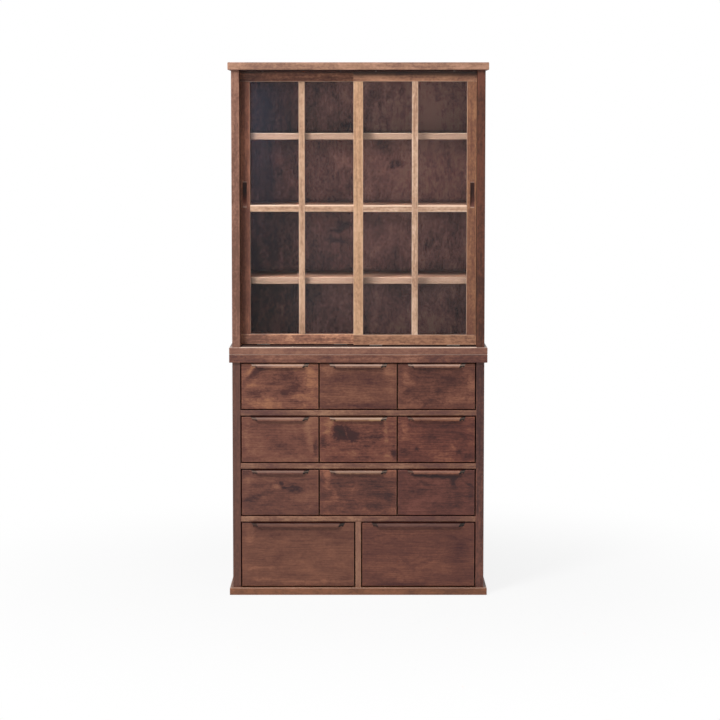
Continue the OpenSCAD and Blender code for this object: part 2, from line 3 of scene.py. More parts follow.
import bpy
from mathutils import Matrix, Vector


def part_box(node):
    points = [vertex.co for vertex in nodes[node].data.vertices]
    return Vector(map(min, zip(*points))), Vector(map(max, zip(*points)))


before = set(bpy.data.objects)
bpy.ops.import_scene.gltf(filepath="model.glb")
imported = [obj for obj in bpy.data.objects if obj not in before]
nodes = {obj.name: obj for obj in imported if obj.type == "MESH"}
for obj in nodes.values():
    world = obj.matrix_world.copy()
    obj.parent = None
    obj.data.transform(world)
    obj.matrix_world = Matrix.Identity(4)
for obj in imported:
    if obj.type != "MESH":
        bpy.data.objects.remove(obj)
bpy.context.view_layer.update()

# The plinth board is the foot of the chest: one wide alder board, planed and eased along
# its edges, stained walnut brown and lacquered satin. The stain takes unevenly, so every
# board has its own pale and dark clouds, and this first piece sets how such a board is made.
PLINTH_STAIN = ((98, 62, 46), (123, 80, 57), (142, 92, 67))
PLINTH_MARKS = ((-150, -195, 250, 120, 0, -0.3), (320, -195, 130, 120, 0, 0.3))
# A pale colour for edges worn by use, also used for painted highlights.
PALE_WEAR_AND_HIGHLIGHT = (206, 176, 158)


def stain(red, green, blue):
    """A colour as a painter's chart gives it, 0 to 255, for the shader's linear light."""
    return tuple(
        c / 12.92 if c <= 0.04045 else ((c + 0.055) / 1.055) ** 2.4
        for c in (red / 255, green / 255, blue / 255)
    ) + (1.0,)


def put(tree, kind, settings=None, **inputs):
    """Adds a shader node. An input is given by name, with _ for a space, or as in0, in1."""
    node = tree.nodes.new("ShaderNode" + kind)
    for key, value in (settings or {}).items():
        setattr(node, key, value)
    for key, value in inputs.items():
        numbered = key.startswith("in") and key[2:].isdigit()
        place = int(key[2:]) if numbered else key.replace("_", " ")
        if isinstance(value, bpy.types.NodeSocket):
            tree.links.new(value, node.inputs[place])
        else:
            node.inputs[place].default_value = value
    return node


def reckon(tree, how, a, b=0.0, c=0.0):
    return put(tree, "Math", {"operation": how}, in0=a, in1=b, in2=c).outputs[0]


def times(tree, a, b):
    return reckon(tree, "MULTIPLY", a, b)


def plus(tree, base, more, share=1.0):
    """The base, with a share of more added to it."""
    return reckon(tree, "MULTIPLY_ADD", more, share, base)


def size_of(tree, value):
    return reckon(tree, "ABSOLUTE", value)


def between(tree, value, low, high, out_low=0.0, out_high=1.0):
    """A soft step: out_low before low, out_high past high."""
    step = put(tree, "MapRange", {"interpolation_type": "SMOOTHSTEP"}, in0=value,
               in1=low, in2=high, in3=out_low, in4=out_high)
    return step.outputs[0]


def vector(tree, how, a, b=(0, 0, 0), c=(0, 0, 0)):
    return put(tree, "VectorMath", {"operation": how}, in0=a, in1=b, in2=c).outputs[0]


def length_of(tree, value):
    return put(tree, "VectorMath", {"operation": "LENGTH"}, in0=value).outputs[1]


def split(tree, value):
    """The three coordinates of a vector."""
    return put(tree, "SeparateXYZ", Vector=value).outputs


def least_of(tree, axes):
    return reckon(tree, "MINIMUM", axes[0], reckon(tree, "MINIMUM", axes[1], axes[2]))


def paint(tree, share, under, over, how="MIX"):
    """One colour laid over another, as thickly as share says."""
    return put(tree, "Mix", {"data_type": "RGBA", "blend_type": how}, in0=share,
               in6=under, in7=over).outputs[2]


def glaze(tree, share, under, over):
    """A clear coat of colour: the wood under it still shows."""
    return paint(tree, share, under, over, "MULTIPLY")


def choose(tree, share, near, far):
    """The vector near where share is nothing, and far where it is one."""
    return put(tree, "Mix", {"data_type": "VECTOR"}, in0=share, in4=near, in5=far).outputs[1]


def stretch(tree, place, along, across):
    """The board's coordinates, scaled along the grain and across it."""
    return vector(tree, "MULTIPLY", place, (along, across, across))


def noise(tree, place, detail, rough, bend):
    return put(tree, "TexNoise", Vector=place, Scale=1.0, Detail=detail, Roughness=rough,
               Distortion=bend).outputs[0]


def group_of(name, takes, gives):
    """A node group, with its input sockets and its output sockets."""
    tree = bpy.data.node_groups.new(name, "ShaderNodeTree")
    kinds = {"v": "NodeSocketVector", "f": "NodeSocketFloat", "c": "NodeSocketColor"}
    for side, sockets in (("INPUT", takes), ("OUTPUT", gives)):
        for label, kind in sockets:
            tree.interface.new_socket(label, in_out=side, socket_type=kinds[kind])
    taken = tree.nodes.new("NodeGroupInput").outputs
    given = tree.nodes.new("NodeGroupOutput").inputs
    return tree, taken, given


# How alder looks under stain, by the scale of what shows in it: waves to the metre along
# the grain and across it, then the noise's detail, roughness and bend.
ALDER_SCALES = {
    "wander": (2.1, 7.0, 2.0, 0.55, 0.0),     # slow bends of all the grain
    "cloud": (7.0, 14.0, 4.0, 0.55, 0.5),     # where the wood drank more of the stain
    "patch": (24.0, 46.0, 3.0, 0.6, 0.8),     # blotches within the clouds
    "flame": (3.2, 60.0, 3.0, 0.55, 0.0),     # broad streaks
    "streak": (5.0, 150.0, 2.0, 0.55, 0.0),   # narrow streaks
    "fibre": (15.0, 240.0, 3.0, 0.6, 0.0),    # threads of the grain
    "fleck": (110.0, 165.0, 2.0, 0.6, 0.4),   # short flecks
    "pore": (70.0, 1300.0, 1.0, 0.5, 0.0),    # pores, as fine dark scratches
}
TONE_SHARES = {"flame": 0.8, "streak": 1.0, "cloud": 1.9, "patch": 0.95, "fleck": 1.2,
               "fibre": 1.07, "pore": -0.16}
DARK_TONE, BODY_TONE, PALE_TONE = -0.1, 0.5, 1.15
RINGS_PER_METRE = 210.0
RING_TAPER = 0.05
GRAIN_DRIFT = 0.055
KNOT_PUSH = 0.012
LATE_FROM, LATE_TO = 0.45, 0.93
PORES_FROM, PORES_TO = 0.60, 0.72
RAGGED_LEAST, RAGGED_MOST = 0.65, 1.35
KNOT_FROM, KNOT_TO, KNOT_DARK = 0.5, 1.3, 0.75
BURNT = (0.30, 0.24, 0.24, 1)
LACQUER_DULL, FIBRE_DULL, PORE_DULL, RUB_SHINE = 0.36, 0.22, 0.12, 0.25
LATE_RELIEF, FIBRE_RELIEF, PORE_RELIEF = 0.25, 0.5, -0.6

alder, takes, gives = group_of(
    "alder_board",
    [("Place", "v"), ("Seed", "v"), ("Heart", "v"), ("Figure", "f"), ("End", "f"),
     ("Cloud", "f"), ("Line", "f"), ("Fleck", "f"), ("Ring", "f"), ("Wear", "f"),
     ("Dark", "c"), ("Body", "c"), ("Pale", "c")],
    [("Colour", "c"), ("Dullness", "f"), ("Height", "f")])
seeded = vector(alder, "ADD", takes["Place"], takes["Seed"])
shows = {}
for sort, (along, across, detail, rough, bend) in ALDER_SCALES.items():
    shows[sort] = noise(alder, stretch(alder, seeded, along, across), detail, rough, bend)
pore = between(alder, shows["pore"], PORES_FROM, PORES_TO)


def add_swing(tone, sort, strength=None):
    """Adds to the tone what one scale shows, as it swings to either side of its middle."""
    swing = reckon(alder, "SUBTRACT", shows[sort], 0.5)
    if strength is not None:
        swing = times(alder, swing, strength)
    return plus(alder, tone, swing, TONE_SHARES[sort])


# The year rings run round the tree's heart, drift with the grain, and bend round knots.
from_heart = vector(alder, "SUBTRACT", takes["Place"], takes["Heart"])
radius = length_of(alder, stretch(alder, from_heart, RING_TAPER, 1.0))
drift = reckon(alder, "MULTIPLY_ADD", shows["wander"], GRAIN_DRIFT, -GRAIN_DRIFT / 2)
radius = plus(alder, radius, drift)
radius = plus(alder, radius, takes["Figure"], KNOT_PUSH)
year = reckon(alder, "FRACT", times(alder, radius, RINGS_PER_METRE))
late = times(alder, between(alder, year, LATE_FROM, LATE_TO),
             between(alder, year, 1.0, LATE_TO))

# The tone of the stain adds up from all of these, then picks a colour from dark to pale.
tone = add_swing(0.0, "flame")
tone = add_swing(tone, "streak")
tone = times(alder, tone, takes["Line"])
tone = add_swing(tone, "cloud")
tone = add_swing(tone, "patch")
tone = add_swing(tone, "fleck", takes["Fleck"])
tone = plus(alder, BODY_TONE, tone, takes["Cloud"])
ragged = between(alder, shows["patch"], 0.3, 0.7, RAGGED_LEAST, RAGGED_MOST)
ragged = times(alder, takes["Figure"], ragged)
tone = reckon(alder, "SUBTRACT", tone, ragged)
tone = add_swing(tone, "fibre", takes["Line"])
tone = reckon(alder, "SUBTRACT", tone, times(alder, late, takes["Ring"]))
tone = plus(alder, tone, pore, TONE_SHARES["pore"])
tone = plus(alder, tone, takes["Wear"])
darker = put(alder, "MapRange", in0=tone, in1=DARK_TONE, in2=BODY_TONE).outputs[0]
shade = paint(alder, darker, takes["Dark"], takes["Body"])
paler = put(alder, "MapRange", in0=tone, in1=BODY_TONE, in2=PALE_TONE).outputs[0]
shade = paint(alder, paler, shade, takes["Pale"])
burnt = glaze(alder, 1.0, takes["Dark"], BURNT)
knotty = between(alder, ragged, KNOT_FROM, KNOT_TO, 0.0, KNOT_DARK)
knotty = reckon(alder, "MAXIMUM", knotty, takes["End"])
alder.links.new(paint(alder, knotty, shade, burnt), gives["Colour"])

# Satin lacquer is duller over fibres and pores and shinier where it is rubbed, and the
# grain still stands up a little under it.
dull = reckon(alder, "MULTIPLY_ADD", shows["fibre"], FIBRE_DULL, LACQUER_DULL)
dull = plus(alder, dull, pore, PORE_DULL)
dull = plus(alder, dull, takes["Wear"], -RUB_SHINE)
alder.links.new(dull, gives["Dullness"])
relief = plus(alder, times(alder, late, LATE_RELIEF), shows["fibre"], FIBRE_RELIEF)
relief = plus(alder, relief, pore, PORE_RELIEF)
alder.links.new(relief, gives["Height"])

# A mark in a board is an oval place, turned by an angle, where the stain went in darker
# (or, below nothing, stayed paler). It fades out towards almost twice its half length and
# half width. The strongest marks are knots.
MARK_GONE = 1.9
figure, takes, gives = group_of(
    "alder_figure",
    [("Place", "v"), ("Middle", "v"), ("Reach", "v"), ("Turn", "f"), ("Strength", "f")],
    [("Tone", "f")])
off = vector(figure, "SUBTRACT", takes["Place"], takes["Middle"])
off = put(figure, "VectorRotate", {"rotation_type": "Z_AXIS", "invert": True}, Vector=off,
          Angle=takes["Turn"]).outputs[0]
off = vector(figure, "DIVIDE", off, takes["Reach"])
away = length_of(figure, vector(figure, "MULTIPLY", off, (1, 1, 0)))
fading = between(figure, away, MARK_GONE, 0.0)
figure.links.new(times(figure, fading, takes["Strength"]), gives["Tone"])

# How near a point lies to an edge of its board, where hands and dusters rub it pale: the
# second smallest of its distances from the board's faces, broken up by chance.
RUBBED_WIDTH, RUBBED_THROUGH = 0.0045, 0.0008
arris, takes, gives = group_of("arris", [("Place", "v"), ("Half", "v")], [("Rub", "f")])
near = vector(arris, "ABSOLUTE", takes["Place"])
axes = split(arris, vector(arris, "SUBTRACT", takes["Half"], near))
least = least_of(arris, axes)
most = reckon(arris, "MAXIMUM", axes[0], reckon(arris, "MAXIMUM", axes[1], axes[2]))
total = reckon(arris, "ADD", axes[0], reckon(arris, "ADD", axes[1], axes[2]))
second = reckon(arris, "SUBTRACT", total, reckon(arris, "ADD", least, most))
chance = put(arris, "TexNoise", Vector=takes["Place"], Scale=28.0, Detail=3.0).outputs[0]
rub = times(arris, between(arris, second, RUBBED_WIDTH, RUBBED_THROUGH),
            between(arris, chance, 0.35, 0.65, 0.25, 1.0))
arris.links.new(rub, gives["Rub"])


def finish_piece(name, mat):
    """Gives a CAD piece its finish."""
    piece = nodes[name]
    if not piece.material_slots:
        piece.data.materials.append(mat)
    for slot in piece.material_slots:
        slot.material = mat


SEED_STEP = (1.37, 2.11, 0.73)
MARK_RAGGED = 0.022
MARK_WAVES = 38.0
LACQUER_SHINE = 0.3


class Board:
    """One piece of alder, and the colour that has been built up on it so far.

    lay names its axes: along the grain, across its width, through it. tones are its dark,
    middle and pale stain. cloud, ring, line and fleck are how much the stain clouds, and how
    much the rings, streaks and flecks show. heart is how far the tree's heart lies from the
    board's middle, across and through. Each mark is its place along and across, its half
    length and half width in millimetres, its angle and its strength. rub is how pale the
    edges are rubbed, and end how dark the sawn ends are. With right_end_only, only the ends
    that face right are darkened, which paints shade on the side turned away from the light.
    front is where its own face lies, if something is planted on that. turned is an axis, how
    far from the middle along it the wood changes, and how the wood lies out there.
    """

    def __init__(self, name, lay, seed, tones, cloud=1.0, ring=0.16, line=0.75, fleck=1.0,
                 heart=(0.03, 0.06), marks=(), rub=0.35, end=0.55, right_end_only=False,
                 front=None, turned=None):
        low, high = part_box(name)
        if front is not None:
            low.y = front
        self.name = name
        self.centre = (low + high) / 2
        self.half = (high - low) / 2
        self.mat = bpy.data.materials.new("wood_" + name)
        self.mat.use_nodes = True
        self.tree = tree = self.mat.node_tree
        here = tree.nodes.new("ShaderNodeTexCoord").outputs["Object"]
        facing = tree.nodes.new("ShaderNodeNewGeometry").outputs["Normal"]
        self.where = vector(tree, "SUBTRACT", here, self.centre)
        self.at = split(tree, self.where)
        self.facing = split(tree, facing)

        place, way = self.laid(self.at, lay), self.laid(self.facing, lay)
        if turned:
            axis, limit, other = turned
            out = size_of(tree, self.at["xyz".index(axis)])
            self.turned = reckon(tree, "GREATER_THAN", out, limit)
            place = choose(tree, self.turned, place, self.laid(self.at, other))
            way = choose(tree, self.turned, way, self.laid(self.facing, other))

        dark, body, pale = (stain(*tone) for tone in tones)
        self.wood = put(tree, "Group", {"node_tree": alder}, Place=place,
                        Seed=[seed * step for step in SEED_STEP], Heart=(0, *heart),
                        Cloud=cloud, Line=line, Fleck=fleck, Ring=ring, Dark=dark,
                        Body=body, Pale=pale)
        if marks:
            self.mark(place, marks)
        if rub:
            self.rub_edges(rub)
        sawn = split(tree, way)[0]
        if not right_end_only:
            sawn = size_of(tree, sawn)
        tree.links.new(between(tree, sawn, 0.25, 0.5, 0.0, end), self.wood.inputs["End"])
        self.colour = self.wood.outputs["Colour"]

    def laid(self, axes, lay):
        """Coordinates in the order that the grain lies in."""
        x, y, z = (axes["xyz".index(axis)] for axis in lay)
        return put(self.tree, "CombineXYZ", X=x, Y=y, Z=z).outputs[0]

    def mark(self, place, marks):
        """Adds the marks of this board's own figure, with ragged outlines."""
        wave = put(self.tree, "TexNoise", Vector=place, Scale=MARK_WAVES, Detail=3.0,
                   Roughness=0.6).outputs[1]
        bent = vector(self.tree, "MULTIPLY_ADD", wave, (MARK_RAGGED, MARK_RAGGED, 0), place)
        smoke = 0.0
        for along, across, long, wide, angle, strength in marks:
            middle = (along / 1000 + MARK_RAGGED / 2, across / 1000 + MARK_RAGGED / 2, 0)
            dark = put(self.tree, "Group", {"node_tree": figure}, Place=bent, Middle=middle,
                       Reach=(long / 1000, wide / 1000, 1), Turn=math.radians(angle),
                       Strength=strength)
            smoke = plus(self.tree, smoke, dark.outputs[0])
        self.tree.links.new(smoke, self.wood.inputs["Figure"])

    def rub_edges(self, strength, place=None, half=None):
        """Rubs the edges of the piece pale, or those of a box of its own at place."""
        edge = put(self.tree, "Group", {"node_tree": arris},
                   Place=self.where if place is None else place,
                   Half=self.half if half is None else half)
        worn = times(self.tree, edge.outputs[0], strength)
        self.tree.links.new(worn, self.wood.inputs["Wear"])

    def paint(self, share, colour):
        self.colour = paint(self.tree, share, self.colour, colour)

    def glaze(self, share, colour):
        self.colour = glaze(self.tree, share, self.colour, colour)

    def lacquer(self):
        """Closes the wood with satin lacquer, and gives it to the CAD piece."""
        shader = self.tree.nodes["Principled BSDF"]
        bump = put(self.tree, "Bump", Strength=0.35, Distance=0.0006,
                   Height=self.wood.outputs["Height"])
        self.tree.links.new(self.colour, shader.inputs["Base Color"])
        self.tree.links.new(self.wood.outputs["Dullness"], shader.inputs["Roughness"])
        self.tree.links.new(bump.outputs[0], shader.inputs["Normal"])
        shader.inputs["Specular IOR Level"].default_value = LACQUER_SHINE
        finish_piece(self.name, self.mat)


def wear_and_highlight_crest(board, strength):
    """Paints pale the rounded edge between a board's face and its top: partly worn by use,
    partly a painted highlight where light from above catches it.
    """
    rise = board.facing[2]
    worn = times(board.tree, between(board.tree, rise, 0.1, 0.4, 0.0, strength),
                 between(board.tree, rise, 0.97, 0.9))
    board.paint(worn, stain(*PALE_WEAR_AND_HIGHLIGHT))


plinth = Board("plinth_board", "xyz", 3, PLINTH_STAIN, 1.2, marks=PLINTH_MARKS)
# Its top edge is painted pale: partly worn, partly a painted highlight.
wear_and_highlight_crest(plinth, 0.6)
plinth.lacquer()

# The chest's carcass: two side panels, dowelled to the plinth and to the top board. They
# are glued up from upright boards, and the top board's grain runs from side to side.
CHEST_LEFT_STAIN = ((82, 53, 45), (94, 60, 50), (106, 69, 57))
CHEST_RIGHT_STAIN = ((62, 35, 32), (83, 51, 44), (116, 72, 59))
CHEST_TOP_STAIN = ((82, 48, 43), (115, 73, 58), (150, 104, 84))


def paint_shade_inside(board, tone, only=None):
    """Paints shade on faces turned away from the front, which lie darker between the pieces."""
    away = between(board.tree, size_of(board.tree, board.facing[1]), 0.95, 0.55)
    if only is not None:
        away = times(board.tree, away, only)
    board.glaze(away, (tone, tone * 0.5, tone * 0.5, 1))


Board("chest_side_left", "zyx", 5, CHEST_LEFT_STAIN, 1.1, line=1.1, fleck=1.6).lacquer()
Board("chest_side_right", "zyx", 8, CHEST_RIGHT_STAIN, 1.1, line=1.1, fleck=1.5,
      marks=((200, 0, 200, 600, 0, 0.3), (-330, 0, 90, 600, 0, -0.6))).lacquer()
chest_top = Board("chest_top", "xyz", 11, CHEST_TOP_STAIN, 1.2,
                  marks=((355, -195, 45, 90, 0, 0.6), (-290, -195, 60, 90, 0, 0.2)))
# Painted shade on the faces turned away from the front.
paint_shade_inside(chest_top, 0.4)
# A pale top edge: partly worn, partly a painted highlight.
wear_and_highlight_crest(chest_top, 0.5)
chest_top.lacquer()

# Three rails close the front between the rows of drawers, and a post parts the two big
# ones. They are sawn from paler, straighter alder. The rails' tongues are let into housings
# in the sides, and the post stands between the plinth and the lowest rail.
RAIL_STAIN = ((91, 57, 53), (119, 81, 65), (154, 113, 89))
POST_STAIN = ((113, 75, 63), (133, 93, 76), (161, 119, 94))
RAILS = {
    "rail_upper": ((-290, 0, 90, 60, 0, 0.55), (-100, 0, 40, 60, 0, -0.4),
                   (210, 0, 90, 60, 0, 0.3)),
    "rail_middle": ((-90, 0, 30, 60, 0, -0.3), (120, 0, 50, 60, 0, -0.3),
                    (270, 0, 30, 60, 0, 0.2)),
    "rail_lower": ((-180, 0, 200, 60, 0, -0.35), (-30, 0, 25, 60, 0, -0.25),
                   (265, 0, 110, 60, 0, 0.6)),
}
for number, (name, marks) in enumerate(RAILS.items()):
    rail = Board(name, "xzy", 14 + 5 * number, RAIL_STAIN, 1.1, heart=(0.05, 0.05),
                 marks=marks, rub=0.1)
    # Painted shade on the faces turned away from the front.
    paint_shade_inside(rail, 0.45)
    rail.lacquer()
Board("base_post", "zxy", 31, POST_STAIN, 0.8).lacquer()

# Behind the rails lie dust boards, in the same housings. Dividers, runner slips and guide
# strips carry and steer the drawers, and dowels join the boards of the case. All of these
# are hardwood, and were never stained.
BARE = ((176, 142, 104), (205, 174, 134), (222, 196, 158))
INSIDE = {"dust_boards": "xyz", "row_dividers": "yzx", "drawer_runners": "yxz",
          "drawer_guides": "yzx", "case_dowels": "zyx", "stacking_dowels": "zyx"}
for number, (name, lay) in enumerate(INSIDE.items()):
    Board(name, lay, 40 + 3 * number, BARE, 0.5, ring=0.12, rub=0.0).lacquer()

# The back of each unit is a thin veneered panel, stained on both faces and let into
# rebates in the sides. Its grain runs upright, and painted shade darkens it along the shelves.
BACK_STAIN = ((67, 40, 48), (123, 78, 75), (158, 111, 102))
# The painted shade along the shelves: its tint, the heights over a shelf where it fades, how far
# under a shelf it reaches, and how strong it is over and under.
SHELF_SHADE_TONE = (0.004, 0.002, 0.002, 1)
SHADE_OVER_SHELF = (0.014, 0.002)
SHADE_UNDER_SHELF = 0.075
SHARE_OVER, SHARE_UNDER = 0.5, 0.28
# The upright dark marks at the left, 165 to 330 mm left of the middle, are painted shade on that
# side of the panel.
BACK_MARKS = (
    (200, 200, 300, 80, 0, -0.5), (-300, 60, 180, 150, 0, 0.12), (0, -165, 600, 60, 0, 0.25),
    (-100, -320, 200, 60, 0, 0.15), (210, -105, 240, 95, 0, 0.14), (-40, 110, 90, 90, 0, 0.12),
    (0, -330, 700, 80, 0, 0.3), (-115, -250, 90, 110, 0, 0.3), (330, 240, 160, 110, 0, -0.25),
    (270, 90, 50, 60, 0, -0.3), (-395, 200, 40, 180, 0, -0.25), (-60, 120, 30, 120, 0, 0.22),
    (-62, -40, 9, 22, 10, 0.8), (-80, -62, 6, 26, -10, 0.7), (-113, -68, 8, 34, 5, 0.6),
    (135, 128, 13, 20, 0, 0.7), (124, 104, 12, 9, 0, 0.6), (352, 48, 24, 18, 0, 0.4),
    (352, 100, 12, 8, 0, 0.5), (257, -40, 10, 22, 0, 0.45), (190, 70, 18, 24, 0, 0.35),
    (120, -60, 60, 22, 8, -0.3), (60, 300, 70, 40, 0, -0.25), (300, 250, 60, 30, 0, -0.25))


def paint_shelf_shade(board, shelves):
    """Paints shade on a back panel: dark just over each shelf, and softer under it."""
    tree = board.tree
    shelf_shade = 0.0
    for shelf in shelves:
        low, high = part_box(shelf)
        thick = high.z - low.z
        over = reckon(tree, "SUBTRACT", board.at[2], high.z - board.centre.z)
        foot = times(tree, between(tree, over, *SHADE_OVER_SHELF, 0.0, SHARE_OVER),
                     reckon(tree, "GREATER_THAN", over, -thick / 2))
        head = between(tree, over, -thick - SHADE_UNDER_SHELF, -thick, 0.0, SHARE_UNDER)
        head = times(tree, head, reckon(tree, "LESS_THAN", over, -thick / 2))
        shelf_shade = reckon(tree, "ADD", shelf_shade, reckon(tree, "ADD", foot, head))
    board.paint(shelf_shade, SHELF_SHADE_TONE)


Board("chest_back", "zxy", 61, BACK_STAIN, 0.9, ring=0.06, rub=0.1).lacquer()
cabinet_back = Board("cabinet_back", "zxy", 67, BACK_STAIN, 1.05, ring=0.04, line=0.35,
                     fleck=1.4, marks=BACK_MARKS, rub=0.1)
# Painted shade over and under each shelf and over the base board.
paint_shelf_shade(cabinet_back, ("shelf_low", "shelf_middle", "shelf_high", "cabinet_base"))
cabinet_back.lacquer()

# The drawer fronts are solid alder with the grain across, each from another part of the
# tree: some clear, some with knots and smoky figure. Along the top of each one a lip is
# glued on as a pull, with its ends cut back. A closed front is flush with the rails.
FRONT_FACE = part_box("rail_upper")[0].y
# The tints of the lip's painted shade: along its top, at its right end, and at its left end,
# where end grain darkens it too.
LIP_TOP_SHADE = (0.3, 0.2, 0.2, 1)
LIP_RIGHT_END_SHADE = (0.1, 0.03, 0.03, 1)
LIP_LEFT_END_GRAIN_AND_SHADE = (0.25, 0.18, 0.18, 1)
JUST_PROUD = 0.0002
LIP_DARK_TOP = (0.0015, 0.0035)
LIP_WEAR_AND_HIGHLIGHT_LINE = (0.0085, 0.0055)

